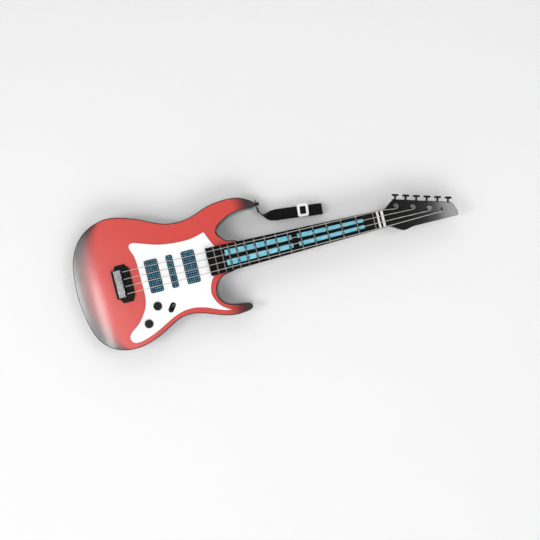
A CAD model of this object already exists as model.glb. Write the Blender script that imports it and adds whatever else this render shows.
import math
import random

import bpy
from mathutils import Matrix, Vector


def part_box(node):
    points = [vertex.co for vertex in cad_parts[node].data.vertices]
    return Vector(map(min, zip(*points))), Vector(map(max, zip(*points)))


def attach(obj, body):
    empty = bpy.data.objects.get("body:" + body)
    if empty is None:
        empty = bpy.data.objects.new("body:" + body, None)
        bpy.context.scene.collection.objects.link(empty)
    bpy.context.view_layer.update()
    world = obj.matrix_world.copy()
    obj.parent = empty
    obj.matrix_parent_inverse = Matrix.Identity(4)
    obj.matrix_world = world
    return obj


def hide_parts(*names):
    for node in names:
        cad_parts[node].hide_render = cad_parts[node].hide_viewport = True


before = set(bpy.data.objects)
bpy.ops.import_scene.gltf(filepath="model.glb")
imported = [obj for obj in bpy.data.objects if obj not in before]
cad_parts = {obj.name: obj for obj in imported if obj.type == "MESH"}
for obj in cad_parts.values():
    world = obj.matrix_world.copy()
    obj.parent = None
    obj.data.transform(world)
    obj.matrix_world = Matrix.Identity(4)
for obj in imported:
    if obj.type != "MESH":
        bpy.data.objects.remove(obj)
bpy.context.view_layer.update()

# Toy electric guitar lying on its back. Metres, in the CAD model's frame:
# +X along the neck to the headstock, +Y to the upper horn, +Z out of the face.
MM = 0.001
SCENE = bpy.context.scene
RANDOM = random.Random(7)

# ---- Camera ----
FACE_Z = 30 * MM
CAMERA_AIM = Vector((202.3, -31.0, 0.0)) * MM    # point of the guitar in the middle of the view
CAMERA_HEIGHT = 1.0                              # above the face
VIEW_WIDTH = 0.7495                              # width of the view at the face
CAMERA_TURN = -14.0
SENSOR = 36.0
CLIP_START = 0.01

# ---- Floor ----
FLOOR_SIZE = 9.0
FLOOR_MIDDLE = (0.2, 0.0, -0.3 * MM)

# ---- Light: place, aim, size, brightness ----
WORLD_OVERHEAD = 0.14        # the studio is dim straight above and bright near the horizon
WORLD_HORIZON = 1.2
SOFT_LIGHTS = (
    ("front_panel", (0.15, -1.45, 1.35), (0.2, 0.0, 0.0), (1.8, 0.9), 2.8),
    ("rear_panel", (0.3, 1.5, 1.5), (0.2, 0.0, 0.0), (1.6, 0.7), 1.4),
    ("tail_softbox", (-0.90, -0.03, 1.2), (-0.05, 0.0, 0.03), (0.46, 0.18), 15.0),
    ("tail_lower_glow", (-0.43, -0.12, 1.2), (-0.03, -0.05, 0.03), (0.36, 0.12), 12.0),
    ("tail_wide_glow", (-0.62, 0.02, 1.2), (-0.03, 0.04, 0.03), (0.42, 0.36), 2.4),
    ("head_softbox", (0.90, 0.01, 1.2), (0.44, 0.0, 0.03), (0.36, 0.3), 9.5),
)

# ---- Strap, in millimetres as in the CAD model ----
WEB_WIDTH = 15.0
WEB_THICK = 1.05
WEB_MIDDLE = (0.8, 0.84)             # up to this share of the half width, this share of the thickness
WEB_EDGE = (0.99, 0.5)               # from this share of the half width on, this share of the thickness
WEB_COLUMNS = 12
RIB_PITCH = 0.0011                   # metres, as the weave's UVs are
WARP_PITCH = 0.0008
BUNDLE_CENTRE = Vector((261.5, 39.5, 0.0))
BUNDLE_TURN = math.radians(-6.0)
LAYERS = 10
LAYER_PITCH = 1.33
LOWEST_LAYER_Z = 0.75
LAYER_HALF = 33.6
LAYER_SHORTENING = 2.2               # at most, by chance
LAYER_DRIFT = 0.35                   # sideways, at most, by chance
LAYER_STEPS = 16
LAYER_RIPPLE = 0.07
RIPPLE_PER_MM = 0.35                 # radians of the ripple for each millimetre
FOLD_STEPS = 6
ENTRY_INSET = 6.0                    # the top layer starts this far inside the bundle
LEAD_POINTS = ((206.8, 58.5, 8.0), (206.9, 53.5, 8.0), (209.6, 48.4, 8.1),
               (215.5, 44.9, 8.9), (223.5, 43.2, 11.2))
LEAD_STATIONS = 44
TWIST_START = 2.0                    # counted in lead points, as the next one
TWIST_SPAN = 2.9

# ---- Strap tab ----
TAB_CORNER_R = 4.5 * MM
TAB_CORNER_STEPS = 10
TAB_HOLE_R = 2.15 * MM
TAB_HOLE_STEPS = 24
TAB_BEVEL = 0.3 * MM
BEVEL_STEPS = 2
STITCH_INSET = 1.7 * MM
STITCH_START = 1.2 * MM
STITCH_PITCH = 1.9 * MM
STITCH_COUNT = 4                     # in each row
STITCH_LENGTH = 1.35 * MM
STITCH_R = 0.22 * MM
STITCH_RINGS = 7
STITCH_SIDES = 8
STITCH_SINK = 0.9                    # radii that a stitch is sunk by, before its swell lifts it

# ---- Pickups ----
PICKUP_COLUMNS = {"bridge": 6, "middle": 3, "neck": 6}
PICKUP_ROWS = 14
GRID_MARGIN = 0.9 * MM
GRID_BAR = 0.7 * MM
GEM_HEIGHT = 0.55 * MM
GEM_FOOT_Z = 0.0308                  # in the CAD model, where the gems' colour starts to grow paler
GEM_INSET = 0.06                     # share of its opening
GEM_LOWEST = 0.75                    # share of the full height, by chance
GEM_ROUNDNESS = 0.6
GEM_STEPS = 6

# ---- Fades on the face, in metres along X and Y ----
RED = (0.63, 0.062, 0.052)
DARK_RED = (0.31, 0.036, 0.031)
FADED_BLACK = (0.026, 0.010, 0.011)
GROOVE_BLACK = (0.01, 0.008, 0.008)
UPPER_HORN_FADE = (0.169, 0.194)
LOWER_HORN_FADE = (0.128, 0.160)
HORN_FADE_SIDE = 0.03                # how far from the middle line the horns' fades are whole
TAIL_FADE = (0.026, 0.066)
TAIL_HALF_HEIGHT = 0.0953
TAIL_DRIFT = 0.008
SPRAY_STRENGTH = 0.25
GROOVE_Z = (0.02985, 0.0296)         # above the groove, in the groove
GROOVE_TAIL_X = (-0.018, -0.014)
GROOVE_NECK_X = (0.140, 0.139)

# ---- Other places that looks follow ----
BACK_Z = (0.0012, 0.0004)            # from the back's rounded edge to its flat
CELL_EDGE_Y = (0.0077, 0.0075)       # from the outer cells to the middle one
NEAR_BAND_X = (0.0470, 0.0468)
FAR_BAND_X = (0.0720, 0.0722)


def smooth(share):
    """A smooth step from 0 to 1."""
    share = min(max(share, 0.0), 1.0)
    return share * share * (3.0 - 2.0 * share)


# ---- Materials ----
class Look:
    """A material, with short calls for the nodes that the looks share. Sizes of patterns are per metre."""

    def __init__(self, name, colour, roughness, metallic=0.0, coat=0.0, coat_roughness=0.08, specular=0.5):
        self.material = bpy.data.materials.new(name)
        self.material.use_nodes = True
        self.tree = self.material.node_tree
        self.shader = self.tree.nodes["Principled BSDF"]
        inputs = self.shader.inputs
        inputs["Base Color"].default_value = (*colour, 1.0)
        inputs["Roughness"].default_value = roughness
        inputs["Metallic"].default_value = metallic
        inputs["Coat Weight"].default_value = coat
        inputs["Coat Roughness"].default_value = coat_roughness
        inputs["Specular IOR Level"].default_value = specular
        self.colour = colour
        self.place = self.node("ShaderNodeTexCoord").outputs["Object"]
        self.normal = None

    def node(self, kind, **settings):
        made = self.tree.nodes.new(kind)
        for name, value in settings.items():
            setattr(made, name, value)
        return made

    def feed(self, node, socket, value):
        """Links a socket to a node's input, or sets the input to a plain number or colour."""
        if isinstance(value, bpy.types.NodeSocket):
            self.tree.links.new(value, node.inputs[socket])
        elif isinstance(value, tuple) and len(value) == 3 and node.inputs[socket].type == "RGBA":
            node.inputs[socket].default_value = (*value, 1.0)
        else:
            node.inputs[socket].default_value = value

    def stretched(self, scale, turn=0.0):
        """The object's own place, stretched along its axes and turned about Z."""
        made = self.node("ShaderNodeMapping")
        self.feed(made, "Vector", self.place)
        self.feed(made, "Scale", scale)
        self.feed(made, "Rotation", (0.0, 0.0, turn))
        return made.outputs["Vector"]

    def noise(self, scale, detail, vector=None):
        made = self.node("ShaderNodeTexNoise")
        self.feed(made, "Vector", vector or self.place)
        self.feed(made, "Scale", scale)
        self.feed(made, "Detail", detail)
        return made.outputs["Fac"]

    def cells(self, scale, feature="F1"):
        made = self.node("ShaderNodeTexVoronoi", feature=feature)
        self.feed(made, "Vector", self.place)
        self.feed(made, "Scale", scale)
        return made.outputs["Distance"]

    def bands(self, scale, direction):
        made = self.node("ShaderNodeTexWave", bands_direction=direction)
        self.feed(made, "Vector", self.place)
        self.feed(made, "Scale", scale)
        return made.outputs["Fac"]

    def axis(self, name, vector=None):
        made = self.node("ShaderNodeSeparateXYZ")
        self.feed(made, "Vector", vector or self.place)
        return made.outputs[name]

    def math(self, operation, first, second=0.0):
        made = self.node("ShaderNodeMath", operation=operation)
        self.feed(made, 0, first)
        self.feed(made, 1, second)
        return made.outputs[0]

    def span(self, value, low, high, to_low=0.0, to_high=1.0):
        """A smooth step as value goes from low to high."""
        made = self.node("ShaderNodeMapRange", interpolation_type="SMOOTHSTEP")
        for socket, number in (("Value", value), ("From Min", low), ("From Max", high),
                               ("To Min", to_low), ("To Max", to_high)):
            self.feed(made, socket, number)
        return made.outputs["Result"]

    def ramp(self, value, *stops):
        made = self.node("ShaderNodeValToRGB")
        elements = made.color_ramp.elements
        while len(elements) < len(stops):
            elements.new(0.5)
        for element, (position, colour) in zip(elements, stops):
            element.position = position
            element.color = (*colour, 1.0)
        self.feed(made, "Fac", value)
        return made.outputs["Color"]

    def mix(self, share, first, second):
        """The first colour where share is 0 and the second where it is 1."""
        made = self.node("ShaderNodeMix", data_type="RGBA")
        # the colour sockets of a mix node are inputs 6 and 7 and output 2
        for index, value in ((0, share), (6, first), (7, second)):
            self.feed(made, index, value)
        return made.outputs[2]

    def bump(self, height, distance):
        """Adds a bump of this many millimetres on top of the earlier ones."""
        made = self.node("ShaderNodeBump")
        self.feed(made, "Height", height)
        self.feed(made, "Distance", distance * MM)
        self.feed(made, "Strength", 1.0)
        if self.normal:
            self.tree.links.new(self.normal, made.inputs["Normal"])
        self.normal = made.outputs["Normal"]
        self.tree.links.new(self.normal, self.shader.inputs["Normal"])

    def paint(self, value):
        self.feed(self.shader, "Base Color", value)

    def dull(self, value, low, high):
        """Roughness from low to high as value goes from 0 to 1."""
        self.feed(self.shader, "Roughness", self.span(value, 0.0, 1.0, low, high))

    def shaded(self, share, scale):
        """The look's own colour, a little darker and lighter from place to place."""
        darker = tuple(part * (1.0 - share) for part in self.colour)
        lighter = tuple(min(part * (1.0 + share), 1.0) for part in self.colour)
        return self.mix(self.noise(scale, 4.0), darker, lighter)


def moulded(name, colour, roughness, coat=0.0, grain=0.012, specular=0.5, share=0.1):
    """Moulded plastic: fine mould texture, faint flow marks and small handling scratches."""
    look = Look(name, colour, roughness, coat=coat, specular=specular)
    look.paint(look.shaded(share, 45.0))
    scratches = look.noise(900.0, 2.0, look.stretched((1.0, 0.06, 1.0), 0.7))
    marks = look.math("MULTIPLY", look.span(scratches, 0.62, 0.72), 0.6)
    smudges = look.noise(28.0, 5.0)
    look.dull(look.math("ADD", look.math("MULTIPLY", smudges, 0.6), marks), roughness * 0.75, roughness * 1.5)
    look.bump(look.noise(2600.0, 2.0), grain)
    look.bump(look.noise(120.0, 1.0), grain * 1.5)
    return look


def metal(name, colour, roughness, stretch=(1.0, 1.0, 1.0), grain=0.006):
    """Drawn or turned metal: fine lines along one direction and a dull bloom in places."""
    look = Look(name, colour, roughness, metallic=1.0)
    look.paint(look.shaded(0.1, 130.0))
    lines = look.noise(2200.0, 3.0, look.stretched(stretch))
    bloom = look.noise(160.0, 4.0)
    look.dull(look.math("ADD", look.math("MULTIPLY", lines, 0.5), look.math("MULTIPLY", bloom, 0.5)),
              roughness * 0.7, roughness * 1.6)
    look.bump(lines, grain)
    return look


def face_red():
    """Gloss red with an airbrushed fade to black at both horn tips and along the tail."""
    look = Look("face_red", RED, 0.3, coat=1.0, coat_roughness=0.17)
    x = look.axis("X")
    y = look.axis("Y")
    upper = look.math("MULTIPLY", look.span(x, *UPPER_HORN_FADE), look.span(y, 0.0, HORN_FADE_SIDE))
    lower = look.math("MULTIPLY", look.span(x, *LOWER_HORN_FADE), look.span(y, 0.0, -HORN_FADE_SIDE))
    # the tail's fade follows ellipses as tall as the body, and wider ones are darker
    tallness = look.math("POWER", look.math("DIVIDE", y, TAIL_HALF_HEIGHT), 2.0)
    narrowing = look.math("SQRT", look.math("MAXIMUM", look.math("SUBTRACT", 1.0, tallness), 0.05))
    reach = look.math("DIVIDE", look.math("MULTIPLY", x, -1.0), narrowing)
    drift = look.math("MULTIPLY", look.math("SUBTRACT", look.noise(24.0, 3.0), 0.5), TAIL_DRIFT)
    tail = look.span(look.math("ADD", reach, drift), *TAIL_FADE)
    fade = look.math("MAXIMUM", look.math("MAXIMUM", upper, lower), tail)
    # the paint's droplets show only in the soft part of a fade
    spray = look.math("MULTIPLY", look.math("SUBTRACT", look.noise(1500.0, 1.0), 0.5), SPRAY_STRENGTH)
    soft = look.math("MULTIPLY", look.math("SUBTRACT", 1.0, fade), look.math("MULTIPLY", fade, 4.0))
    fade = look.math("ADD", fade, look.math("MULTIPLY", spray, soft))
    red = look.ramp(fade, (0.0, RED), (0.5, DARK_RED), (1.0, FADED_BLACK))
    # the groove that the pickguard sits in is black
    groove = look.math("MULTIPLY", look.span(look.axis("Z"), *GROOVE_Z), look.span(x, *GROOVE_TAIL_X))
    groove = look.math("MULTIPLY", groove, look.span(x, *GROOVE_NECK_X))
    look.paint(look.mix(groove, red, GROOVE_BLACK))
    look.dull(look.noise(35.0, 5.0), 0.26, 0.36)
    look.bump(look.noise(700.0, 1.0), 0.006)
    look.bump(look.noise(70.0, 1.0), 0.02)
    return look


def shell_black():
    """Gloss black with a fine eroded texture on the flat back."""
    look = moulded("shell_black", (0.006, 0.006, 0.007), 0.24, coat=0.4, grain=0.004, specular=0.4)
    back = look.span(look.axis("Z"), *BACK_Z)
    look.bump(look.math("MULTIPLY", look.cells(1900.0), back), 0.05)
    return look


def lens_blue():
    """Dark blue lens with paler clouds."""
    look = Look("lens_blue", (0.03, 0.15, 0.24), 0.22, coat=0.6)
    shade = look.noise(260.0, 2.0)
    look.paint(look.ramp(shade, (0.32, (0.014, 0.12, 0.24)), (0.5, (0.04, 0.27, 0.46)),
                         (0.66, (0.12, 0.46, 0.66))))
    look.bump(look.noise(1200.0, 1.0), 0.01)
    return look


def gem_blue():
    """Small moulded lenses, pale at the top and dark at the foot, no two alike."""
    look = Look("gem_blue", (0.05, 0.22, 0.33), 0.16, coat=1.0, coat_roughness=0.05)
    height = look.span(look.axis("Z"), GEM_FOOT_Z, GEM_FOOT_Z + GEM_HEIGHT)
    chance = look.noise(310.0, 1.0)
    dark = look.ramp(height, (0.0, (0.01, 0.06, 0.11)), (1.0, (0.055, 0.33, 0.58)))
    pale = look.ramp(height, (0.0, (0.02, 0.12, 0.2)), (1.0, (0.26, 0.72, 0.95)))
    look.paint(look.mix(look.span(chance, 0.38, 0.6), dark, pale))
    look.bump(look.noise(1500.0, 1.0), 0.008)
    return look


def board_black():
    """Satin black with a shallow grain along the neck."""
    look = moulded("board_black", (0.003, 0.003, 0.004), 0.4, grain=0.006, specular=0.12)
    look.bump(look.noise(900.0, 4.0, look.stretched((0.05, 1.0, 1.0))), 0.03)
    return look


def key_cyan():
    """Clouded cyan plastic."""
    look = moulded("key_cyan", (0.2, 0.7, 0.8), 0.3, coat=0.2, grain=0.006, share=0.05, specular=0.35)
    cloud = look.span(look.noise(150.0, 3.0), 0.4, 0.7)
    look.paint(look.mix(cloud, (0.12, 0.54, 0.70), (0.26, 0.69, 0.80)))
    return look


def wound_wire():
    """A wound string: fine turns round its core."""
    look = metal("wound_wire", (0.5, 0.48, 0.46), 0.36, (0.1, 1.0, 1.0), 0.002)
    look.bump(look.bands(520.0, "X"), 0.02)
    return look


def circuit_green():
    """Solder mask with tracks under it."""
    look = Look("circuit_green", (0.015, 0.14, 0.045), 0.3, coat=0.4)
    tracks = look.node("ShaderNodeTexBrick")
    look.feed(tracks, "Vector", look.place)
    look.feed(tracks, "Scale", 140.0)
    look.feed(tracks, "Mortar Size", 0.05)
    look.feed(tracks, "Color1", (0.012, 0.11, 0.035, 1.0))
    look.feed(tracks, "Color2", (0.02, 0.17, 0.055, 1.0))
    look.feed(tracks, "Mortar", (0.05, 0.3, 0.1, 1.0))
    look.paint(tracks.outputs["Color"])
    look.bump(tracks.outputs["Fac"], 0.03)
    return look


def cell_jacket():
    """Dark jacket with a copper coloured band at each cell's positive end, the middle cell the other way."""
    look = Look("cell_jacket", (0.02, 0.022, 0.025), 0.25, metallic=0.6, coat=0.4)
    y = look.math("ABSOLUTE", look.axis("Y"))
    middle = look.span(y, *CELL_EDGE_Y)
    near = look.span(look.axis("X"), *NEAR_BAND_X)
    far = look.span(look.axis("X"), *FAR_BAND_X)
    band = look.math("ADD", look.math("MULTIPLY", near, middle),
                     look.math("MULTIPLY", far, look.math("SUBTRACT", 1.0, middle)))
    look.paint(look.mix(band, (0.02, 0.022, 0.025), (0.55, 0.24, 0.09)))
    look.dull(look.noise(180.0, 4.0), 0.2, 0.4)
    look.bump(look.noise(500.0, 2.0), 0.01)
    return look


def cone_paper():
    """Pressed paper fibre."""
    look = Look("cone_paper", (0.03, 0.03, 0.032), 0.8)
    look.paint(look.shaded(0.4, 900.0))
    look.bump(look.noise(1400.0, 5.0), 0.05)
    return look


def lead_red():
    """Insulated wire, with a faint ring every few millimetres."""
    look = moulded("lead_red", (0.45, 0.03, 0.025), 0.4, grain=0.01)
    look.bump(look.bands(90.0, "Y"), 0.02)
    return look


def leather_black():
    """Imitation leather: pebbled, with creases and worn high spots."""
    look = Look("leather_black", (0.02, 0.019, 0.019), 0.5)
    pebbles = look.cells(1300.0, feature="SMOOTH_F1")
    creases = look.span(look.cells(420.0, feature="DISTANCE_TO_EDGE"), 0.0, 0.12)
    look.paint(look.mix(pebbles, (0.035, 0.033, 0.032), (0.012, 0.012, 0.012)))
    look.dull(pebbles, 0.42, 0.66)
    look.bump(pebbles, -0.12)
    look.bump(creases, 0.08)
    return look


def thread_grey():
    """Twisted thread."""
    look = Look("thread_grey", (0.1, 0.1, 0.105), 0.7)
    look.paint(look.shaded(0.3, 2500.0))
    look.bump(look.bands(1100.0, "DIAGONAL"), 0.06)
    return look


def webbing_black():
    """Woven webbing: ribs across the strap crossed by fine warp ends, along the strap's own UVs."""
    look = Look("webbing_black", (0.006, 0.006, 0.007), 0.72, specular=0.1)
    look.shader.inputs["Sheen Weight"].default_value = 0.04
    look.shader.inputs["Sheen Roughness"].default_value = 0.4
    weave = look.node("ShaderNodeUVMap", uv_map="weave").outputs["UV"]
    along = look.math("SINE", look.math("MULTIPLY", look.axis("X", weave), 2 * math.pi / RIB_PITCH))
    across = look.math("SINE", look.math("MULTIPLY", look.axis("Y", weave), 2 * math.pi / WARP_PITCH))
    crossing = look.math("MULTIPLY", along, across)
    height = look.math("ADD", look.math("MULTIPLY", crossing, 0.5), 0.5)
    fibres = look.noise(3500.0, 3.0)
    look.paint(look.mix(look.math("MULTIPLY", look.math("ADD", height, fibres), 0.5),
                        (0.002, 0.002, 0.0025), (0.009, 0.009, 0.010)))
    look.dull(fibres, 0.6, 0.85)
    look.bump(height, 0.14)
    look.bump(fibres, 0.03)
    return look


def floor_pale():
    """Plain matt floor, only just uneven."""
    look = Look("floor_pale", (0.86, 0.86, 0.86), 0.6, specular=0.2)
    look.paint(look.mix(look.noise(3.0, 4.0), (0.80, 0.80, 0.80), (0.82, 0.82, 0.82)))
    look.bump(look.noise(400.0, 3.0), 0.02)
    return look


def dress(look, *names):
    """Gives CAD nodes a look."""
    for name in names:
        for slot in bpy.data.objects[name].material_slots:
            slot.material = look.material


def dress_nodes():
    """A look for every CAD node that stays."""
    satin = moulded("satin_black", (0.003, 0.003, 0.004), 0.42, grain=0.012, specular=0.13)
    steel = metal("plated_steel", (0.6, 0.6, 0.6), 0.28, (1.0, 0.1, 1.0))
    wire = metal("plain_wire", (0.54, 0.53, 0.51), 0.34, (0.05, 1.0, 1.0), 0.002)
    white = moulded("satin_white", (0.70, 0.69, 0.66), 0.35, coat=0.2, grain=0.01, share=0.03)
    green = circuit_green()
    dress(shell_black(), "body_front_shell", "body_rear_shell")
    dress(face_red(), "face_panel")
    dress(moulded("guard_white", (0.92, 0.925, 0.93), 0.26, coat=0.4, grain=0.003, share=0.012), "pickguard")
    dress(moulded("grid_black", (0.005, 0.008, 0.012), 0.38, grain=0.01, specular=0.3),
          *["%s_pickup_cover" % name for name in PICKUP_COLUMNS])
    dress(lens_blue(), *["%s_pickup_lens" % name for name in PICKUP_COLUMNS])
    dress(satin, "bridge_base", "bridge_rear_bar", "string_anchors", "headstock_cover", "tuner_strip",
          "switch_bezel", "slide_switch_knob", "tact_switches", "battery_door", "horn_strap_pin")
    dress(metal("saddle_chrome", (0.36, 0.36, 0.36), 0.24, (1.0, 0.1, 1.0)), "bridge_saddles")
    dress(wound_wire(), "string_1", "string_2")
    dress(wire, "string_3", "string_4")
    dress(metal("fret_wire", (0.24, 0.22, 0.20), 0.36, (1.0, 0.05, 1.0), 0.002), "frets")
    dress(board_black(), "fretboard", "neck_rear_shell")
    dress(white, "nut", "string_guide")
    dress(key_cyan(), *["%s_%s_key_strip" % (side, group) for side in ("upper", "lower")
                        for group in ("high", "low")])
    dress(green, "neck_board", "main_board", "light_board")
    dress(moulded("dome_rubber", (0.4, 0.41, 0.42), 0.6, grain=0.02), "key_dome_sheet")
    dress(moulded("head_black", (0.006, 0.006, 0.006), 0.11, grain=0.002), "headstock")
    dress(metal("turned_steel", (0.09, 0.09, 0.095), 0.26, (1.0, 1.0, 0.2)),
          *["tuning_post_%d" % number for number in range(1, 5)])
    dress(moulded("button_black", (0.005, 0.005, 0.006), 0.3, coat=0.2, grain=0.004, specular=0.3),
          "upper_push_button", "lower_push_button")
    dress(steel, "slide_switch_body", "speaker_basket", "cell_contacts", "cell_springs")
    dress(metal("blackened_steel", (0.2, 0.2, 0.21), 0.35, (1.0, 0.2, 1.0)),
          "case_screws", "neck_screws", "battery_door_screw")
    dress(moulded("lamp_clear", (0.6, 0.72, 0.8), 0.15, coat=0.5), "lamps")
    dress(cone_paper(), "speaker_cone")
    dress(moulded("ferrite", (0.05, 0.05, 0.055), 0.6, grain=0.05), "speaker_magnet")
    dress(cell_jacket(), "cells")
    dress(lead_red(), "leads")
    dress(moulded("slider_white", (0.93, 0.93, 0.93), 0.3, coat=0.3, grain=0.004, share=0.02), "strap_slider")


# ---- Pieces made here ----
def mesh_piece(name, points, faces, look, uvs=None):
    """A smooth shaded piece that rides on the body and neck."""
    mesh = bpy.data.meshes.new(name)
    mesh.from_pydata(points, [], faces)
    if uvs:
        layer = mesh.uv_layers.new(name="weave")
        for loop in mesh.loops:
            layer.data[loop.index].uv = uvs[loop.vertex_index]
    mesh.materials.append(look.material)
    mesh.shade_smooth()
    mesh.validate()
    piece = bpy.data.objects.new(name, mesh)
    SCENE.collection.objects.link(piece)
    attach(piece, "body_and_neck")
    return piece


def pickup_gems(name, look):
    """A small domed lens in each opening of a pickup's grid."""
    low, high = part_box("%s_pickup_cover" % name)
    base_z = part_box("%s_pickup_lens" % name)[1][2]
    columns = PICKUP_COLUMNS[name]
    wide = (high[0] - low[0] - 2 * GRID_MARGIN - GRID_BAR * (columns - 1)) / columns
    tall = (high[1] - low[1] - 2 * GRID_MARGIN - GRID_BAR * (PICKUP_ROWS - 1)) / PICKUP_ROWS
    points = []
    faces = []
    for column in range(columns):
        for row in range(PICKUP_ROWS):
            x0 = low[0] + GRID_MARGIN + column * (wide + GRID_BAR)
            y0 = low[1] + GRID_MARGIN + row * (tall + GRID_BAR)
            lift = GEM_HEIGHT * RANDOM.uniform(GEM_LOWEST, 1.0)
            first = len(points)
            for i in range(GEM_STEPS + 1):
                for j in range(GEM_STEPS + 1):
                    u = i / GEM_STEPS
                    v = j / GEM_STEPS
                    crown = (math.sin(math.pi * u) * math.sin(math.pi * v)) ** GEM_ROUNDNESS
                    points.append((x0 + wide * (GEM_INSET + (1 - 2 * GEM_INSET) * u),
                                   y0 + tall * (GEM_INSET + (1 - 2 * GEM_INSET) * v),
                                   base_z + lift * crown))
            for i in range(GEM_STEPS):
                for j in range(GEM_STEPS):
                    a = first + i * (GEM_STEPS + 1) + j
                    faces.append((a, a + GEM_STEPS + 1, a + GEM_STEPS + 2, a + 1))
    return mesh_piece("%s_pickup_gems" % name, points, faces, look)


def bundle_axes():
    """The bundle's length and width directions, and up."""
    along = Vector((math.cos(BUNDLE_TURN), math.sin(BUNDLE_TURN), 0.0))
    across = Vector((-along.y, along.x, 0.0))
    return along, across, Vector((0.0, 0.0, 1.0))


def lead_stations(top_z):
    """The single layer from the tab to the top of the bundle. It turns from upright to flat on the way."""
    along, _, up = bundle_axes()
    entry = BUNDLE_CENTRE - along * (LAYER_HALF - ENTRY_INSET) + up * top_z
    lead = [Vector(point) for point in LEAD_POINTS] + [entry]
    stations = []
    for index in range(LEAD_STATIONS):
        share = index / (LEAD_STATIONS - 1) * (len(lead) - 1)
        segment = min(int(share), len(lead) - 2)
        local = share - segment
        before = lead[max(segment - 1, 0)]
        start, end = lead[segment], lead[segment + 1]
        after = lead[segment + 2] if segment + 2 < len(lead) else end + along * ENTRY_INSET
        place = 0.5 * ((2 * start) + (end - before) * local
                       + (2 * before - 5 * start + 4 * end - after) * local ** 2
                       + (3 * start - before - 3 * end + after) * local ** 3)
        twist = smooth((share - TWIST_START) / TWIST_SPAN) * math.pi / 2.0
        stations.append((place, twist))
    lined = []
    for index, (place, twist) in enumerate(stations):
        before = stations[max(index - 1, 0)][0]
        after = stations[min(index + 1, LEAD_STATIONS - 1)][0]
        forward = (after - before).normalized()
        side = up.cross(forward).normalized()
        lined.append((place, (up * math.cos(twist) + side * math.sin(twist)).normalized()))
    return lined


def bundle_stations(top_z):
    """The layers from the top one down, with a half turn at each fold."""
    along, across, up = bundle_axes()
    runs = []
    for _ in range(LAYERS):
        end = LAYER_HALF - RANDOM.uniform(0.0, LAYER_SHORTENING)
        runs.append((end, RANDOM.uniform(-LAYER_DRIFT, LAYER_DRIFT)))
    lined = []
    radius = LAYER_PITCH / 2.0
    for layer, (end, drift) in enumerate(runs):
        forward = 1.0 if layer % 2 == 0 else -1.0
        z = top_z - LAYER_PITCH * layer
        start = -(LAYER_HALF - ENTRY_INSET) if layer == 0 else forward * -runs[layer - 1][0]
        finish = forward * end
        # the lead has already reached the top layer's first place
        for step in range(1 if layer == 0 else 0, LAYER_STEPS + 1):
            share = step / LAYER_STEPS
            reach = start + (finish - start) * share
            ripple = LAYER_RIPPLE * math.sin(reach * RIPPLE_PER_MM + layer)
            lined.append((BUNDLE_CENTRE + along * reach + across * (drift * smooth(share))
                          + up * (z + ripple * math.sin(math.pi * share)), across))
        if layer < LAYERS - 1:
            for step in range(1, FOLD_STEPS):
                share = step / FOLD_STEPS
                angle = math.pi * step / FOLD_STEPS
                lined.append((BUNDLE_CENTRE + along * (finish + forward * radius * math.sin(angle))
                              + across * (drift * (1 - share)) + up * (z - radius * (1 - math.cos(angle))),
                              across))
    return lined


def strap_stations():
    """The webbing's middle line with its width direction, from the tab to its free end, in millimetres."""
    top_z = LOWEST_LAYER_Z + LAYER_PITCH * (LAYERS - 1)
    return lead_stations(top_z) + bundle_stations(top_z)


def web_thickness(edge):
    """Thickness of the webbing, as edge goes from 0 at its middle to 1 at its edge."""
    middle, middle_share = WEB_MIDDLE
    rim, rim_share = WEB_EDGE
    if edge < middle:
        return WEB_THICK * middle_share
    return WEB_THICK if edge < rim else WEB_THICK * rim_share


def strap_webbing(look):
    """The folded strap, as one ribbon that is thickest beside its edges, and its length in metres."""
    stations = strap_stations()
    points = []
    uvs = []
    faces = []
    length = 0.0
    ring = 2 * (WEB_COLUMNS + 1)
    for index, (place, across) in enumerate(stations):
        before = stations[max(index - 1, 0)][0]
        after = stations[min(index + 1, len(stations) - 1)][0]
        if index:
            length += (place - before).length
        normal = (after - before).normalized().cross(across).normalized()
        for side in (1, -1):
            for column in range(WEB_COLUMNS + 1):
                share = column / WEB_COLUMNS if side > 0 else 1 - column / WEB_COLUMNS
                reach = (share - 0.5) * WEB_WIDTH
                thick = 0.5 * web_thickness(abs(2 * share - 1))
                points.append((place + across * reach + normal * (side * thick)) * MM)
                uvs.append((length * MM, reach * MM))
    for index in range(len(stations) - 1):
        for column in range(ring):
            a = index * ring + column
            b = index * ring + (column + 1) % ring
            faces.append((a, b, b + ring, a + ring))
    last = (len(stations) - 1) * ring
    faces.append(tuple(range(ring - 1, -1, -1)))
    faces.append(tuple(range(last, last + ring)))
    return mesh_piece("strap_webbing", points, faces, look, uvs), length * MM


def outline_piece(name, rings, depth, bevel, look):
    """A flat piece from closed outlines in its own plane; the later ones are holes."""
    curve = bpy.data.curves.new(name, "CURVE")
    curve.dimensions = "2D"
    curve.fill_mode = "BOTH"
    curve.extrude = depth / 2.0 - bevel
    curve.bevel_depth = bevel
    curve.bevel_resolution = BEVEL_STEPS
    for ring in rings:
        spline = curve.splines.new("POLY")
        spline.points.add(len(ring) - 1)
        for point, (x, y) in zip(spline.points, ring):
            point.co = (x, y, 0.0, 1.0)
        spline.use_cyclic_u = True
    drawn = bpy.data.objects.new(name + "_outline", curve)
    SCENE.collection.objects.link(drawn)
    bpy.context.view_layer.update()
    mesh = bpy.data.meshes.new_from_object(drawn.evaluated_get(bpy.context.evaluated_depsgraph_get()))
    bpy.data.objects.remove(drawn)
    mesh.materials.clear()
    mesh.materials.append(look.material)
    mesh.shade_smooth()
    mesh.set_sharp_from_angle(angle=math.radians(50.0))
    piece = bpy.data.objects.new(name, mesh)
    SCENE.collection.objects.link(piece)
    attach(piece, "body_and_neck")
    return piece


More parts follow.
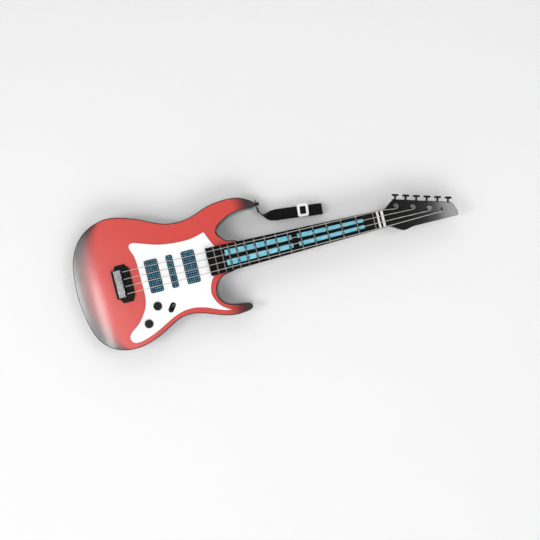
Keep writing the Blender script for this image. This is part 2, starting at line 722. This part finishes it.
def stitches(name, middles, look):
    """Short raised stitches along Y, each a thread that bulges in the middle and dives at its ends."""
    along = Vector((0.0, 1.0, 0.0))
    upright = Vector((1.0, 0.0, 0.0))
    sideways = along.cross(upright)
    points = []
    faces = []
    for middle in middles:
        first = len(points)
        for ring in range(STITCH_RINGS):
            share = ring / (STITCH_RINGS - 1)
            # a thread's ends are 0.12 of a half wave in, so they aren't points
            swell = math.sin(math.pi * (0.12 + 0.76 * share))
            centre = (Vector(middle) + along * (STITCH_LENGTH * (share - 0.5))
                      + upright * (STITCH_R * (swell - STITCH_SINK)))
            for side in range(STITCH_SIDES):
                angle = 2 * math.pi * side / STITCH_SIDES
                spoke = upright * math.cos(angle) + sideways * math.sin(angle)
                points.append(centre + spoke * STITCH_R * swell)
        for ring in range(STITCH_RINGS - 1):
            for side in range(STITCH_SIDES):
                a = first + ring * STITCH_SIDES + side
                b = first + ring * STITCH_SIDES + (side + 1) % STITCH_SIDES
                faces.append((a, b, b + STITCH_SIDES, a + STITCH_SIDES))
        faces.append(tuple(first + side for side in reversed(range(STITCH_SIDES))))
        faces.append(tuple(first + (STITCH_RINGS - 1) * STITCH_SIDES + side for side in range(STITCH_SIDES)))
    return mesh_piece(name, points, faces, look)


def arc(centre, radius, start, sweep, steps):
    """Points on an arc, from start degrees over sweep degrees, with both ends."""
    angles = [math.radians(start + sweep * step / steps) for step in range(steps + 1)]
    return [(centre[0] + radius * math.cos(angle), centre[1] + radius * math.sin(angle)) for angle in angles]


def strap_tab(leather, thread):
    """The leather tab that buttons over the pin, with its stitches."""
    low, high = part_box("strap_end_tab")
    width = high[2] - low[2]
    middle_z = (low[2] + high[2]) / 2.0
    pin_y = sum(edge[1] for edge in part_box("horn_strap_pin")) / 2.0
    # the outline is drawn in y and in height from the tab's middle
    corner_y = high[1] - TAB_CORNER_R
    corner_z = width / 2.0 - TAB_CORNER_R
    outline = [(low[1], -width / 2.0), (corner_y, -width / 2.0)]
    outline += arc((corner_y, -corner_z), TAB_CORNER_R, -90.0, 90.0, TAB_CORNER_STEPS)
    outline += arc((corner_y, corner_z), TAB_CORNER_R, 0.0, 90.0, TAB_CORNER_STEPS)
    outline.append((low[1], width / 2.0))
    hole = arc((pin_y, 0.0), TAB_HOLE_R, 0.0, 360.0, TAB_HOLE_STEPS)[:-1]
    tab = outline_piece("leather_tab", [outline, hole], high[0] - low[0], TAB_BEVEL, leather)
    flat_x = (low[0] + high[0]) / 2.0
    # the outline's own x and y become the object's y and z
    for vertex in tab.data.vertices:
        y, z, x = vertex.co
        vertex.co = (flat_x + x, y, middle_z + z)
    start_y = low[1] + STITCH_START
    middles = [(high[0], start_y + STITCH_PITCH * step, middle_z + side * (width / 2.0 - STITCH_INSET))
               for step in range(STITCH_COUNT) for side in (1, -1)]
    return tab, stitches("tab_stitches", middles, thread)


def stage():
    """The pale floor, just under the guitar's back."""
    bpy.ops.mesh.primitive_plane_add(size=FLOOR_SIZE, location=FLOOR_MIDDLE)
    floor = bpy.context.object
    floor.name = "floor"
    floor.data.materials.append(floor_pale().material)


def light_studio():
    """White surroundings, dimmer towards the top."""
    world = bpy.data.worlds.new("studio")
    world.use_nodes = True
    background = world.node_tree.nodes["Background"]
    background.inputs["Color"].default_value = (1.0, 1.0, 1.0, 1.0)
    direction = world.node_tree.nodes.new("ShaderNodeTexCoord").outputs["Generated"]
    height = world.node_tree.nodes.new("ShaderNodeSeparateXYZ")
    strength = world.node_tree.nodes.new("ShaderNodeMapRange")
    strength.inputs["To Min"].default_value = WORLD_HORIZON
    strength.inputs["To Max"].default_value = WORLD_OVERHEAD
    world.node_tree.links.new(direction, height.inputs["Vector"])
    world.node_tree.links.new(height.outputs["Z"], strength.inputs["Value"])
    world.node_tree.links.new(strength.outputs["Result"], background.inputs["Strength"])
    SCENE.world = world


def place_lights():
    """The soft panels. Each is as bright as its number whatever its size."""
    for name, place, aim, (width, height), brightness in SOFT_LIGHTS:
        data = bpy.data.lights.new(name, "AREA")
        data.shape = "RECTANGLE"
        data.size = width
        data.size_y = height
        data.energy = brightness * math.pi * width * height
        light = bpy.data.objects.new(name, data)
        light.location = place
        light.rotation_euler = (Vector(place) - Vector(aim)).to_track_quat("Z", "Y").to_euler()
        SCENE.collection.objects.link(light)


def place_camera():
    """Looks straight down at the face."""
    data = bpy.data.cameras.new("camera")
    data.sensor_width = SENSOR
    data.lens = SENSOR * CAMERA_HEIGHT / VIEW_WIDTH
    data.clip_start = CLIP_START
    camera = bpy.data.objects.new("camera", data)
    camera.location = CAMERA_AIM + Vector((0.0, 0.0, FACE_Z + CAMERA_HEIGHT))
    camera.rotation_euler = (0.0, 0.0, math.radians(CAMERA_TURN))
    SCENE.collection.objects.link(camera)
    SCENE.camera = camera


SCENE.view_settings.view_transform = "Standard"
place_camera()
light_studio()
place_lights()
stage()
dress_nodes()
gem_look = gem_blue()
for pickup in PICKUP_COLUMNS:
    pickup_gems(pickup, gem_look)
webbing, made_length = strap_webbing(webbing_black())
tab, seam = strap_tab(leather_black(), thread_grey())
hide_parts("strap")
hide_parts("strap_end_tab")
print("strap length", round(made_length, 4))
